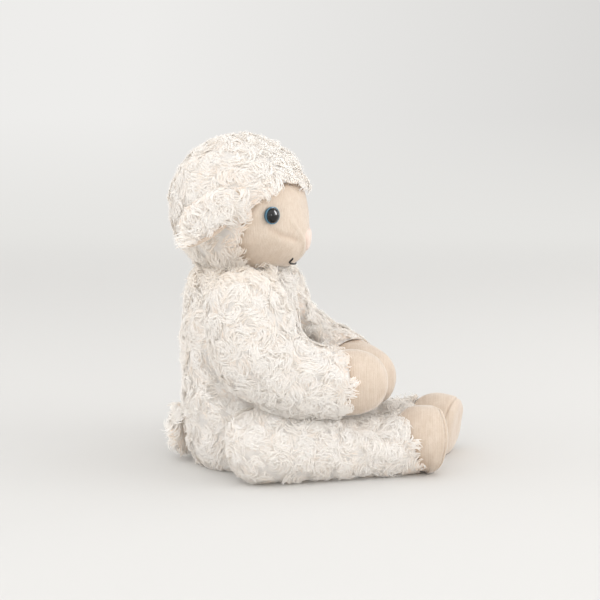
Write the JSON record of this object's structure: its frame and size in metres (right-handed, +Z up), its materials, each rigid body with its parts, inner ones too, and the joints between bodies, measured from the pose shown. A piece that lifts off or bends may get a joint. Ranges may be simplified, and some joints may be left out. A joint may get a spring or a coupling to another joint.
{
  "type": "plush sheep",
  "caption": "Sitting plush lamb of curly cream fleece with a beige velour face, paws and feet, hanging ears, domed eyes and a turning head and limbs.",
  "frame": {"origin": "on the floor under the middle of the seat, where the torso's flat base stands", "axes": "+Z up; +X the way the lamb faces, along its legs; +Y to the lamb's left, across both hips"},
  "size_m": [0.1756, 0.1512, 0.1918],
  "materials": {
    "fleece": "cream curly fleece with an 8 mm pile",
    "velour": "beige ribbed velour with a short nap",
    "nose": "pale pink velour",
    "stuffing": "white polyester fibre",
    "bag": "white woven cloth bag of plastic pellets",
    "eye": "polished black plastic with a blue-grey rim under a clear dome",
    "washer": "natural white plastic",
    "thread": "black embroidery thread"
  },
  "bodies": {
    "torso": {"torso_fleece": "fleece", "seat_pellet_bag": "bag", "torso_stuffing": "stuffing"},
    "head": {"head_fleece": "fleece", "face_velour": "velour", "head_stuffing": "stuffing", "nose_velour": "nose", "mouth_stitching": "thread", "right_eye": "eye", "left_eye": "eye", "right_eye_washer": "washer", "left_eye_washer": "washer"},
    "right_ear": {"right_ear_fleece": "fleece", "right_ear_lining": "velour"},
    "left_ear": {"left_ear_fleece": "fleece", "left_ear_lining": "velour"},
    "right_arm": {"right_arm_fleece": "fleece", "right_hand_velour": "velour", "right_arm_stuffing": "stuffing"},
    "left_arm": {"left_arm_fleece": "fleece", "left_hand_velour": "velour", "left_arm_stuffing": "stuffing"},
    "right_leg": {"right_leg_fleece": "fleece", "right_foot_velour": "velour", "right_sole_velour": "velour", "right_leg_stuffing": "stuffing"},
    "left_leg": {"left_leg_fleece": "fleece", "left_foot_velour": "velour", "left_sole_velour": "velour", "left_leg_stuffing": "stuffing"},
    "tail": {"tail_fleece": "fleece"}
  },
  "joints": [
    {"name": "head_turn", "type": "hinge", "parent": "torso", "child": "head", "pos_m": [-0.002, 0, 0.1145], "axis": [0, 0, 1], "range_deg": [-35, 35], "stiffness_Nm_per_rad": 0.02},
    {"name": "right_ear_lift", "type": "hinge", "parent": "head", "child": "right_ear", "pos_m": [0.0045, -0.0393, 0.1575], "axis": [-0.6428, 0, 0.766], "range_deg": [0, 60]},
    {"name": "left_ear_lift", "type": "hinge", "parent": "head", "child": "left_ear", "pos_m": [0.0045, 0.0393, 0.1575], "axis": [0.6428, 0, -0.766], "range_deg": [0, 60]},
    {"name": "right_shoulder_raise", "type": "hinge", "parent": "torso", "child": "right_arm", "pos_m": [0.004, -0.035, 0.099], "axis": [0, -1, 0], "range_deg": [0, 70]},
    {"name": "left_shoulder_raise", "type": "hinge", "parent": "torso", "child": "left_arm", "pos_m": [0.004, 0.035, 0.099], "axis": [0, -1, 0], "range_deg": [0, 70]},
    {"name": "right_hip_splay", "type": "hinge", "parent": "torso", "child": "right_leg", "pos_m": [-0.002, -0.042, 0.0205], "axis": [0, 0, -1], "range_deg": [0, 40], "stiffness_Nm_per_rad": 0.02},
    {"name": "left_hip_splay", "type": "hinge", "parent": "torso", "child": "left_leg", "pos_m": [-0.002, 0.042, 0.0205], "axis": [0, 0, 1], "range_deg": [0, 40], "stiffness_Nm_per_rad": 0.02},
    {"name": "tail_lift", "type": "hinge", "parent": "torso", "child": "tail", "pos_m": [-0.03165, 0, 0.0325], "axis": [0, 1, 0], "range_deg": [0, 45]}
  ]
}
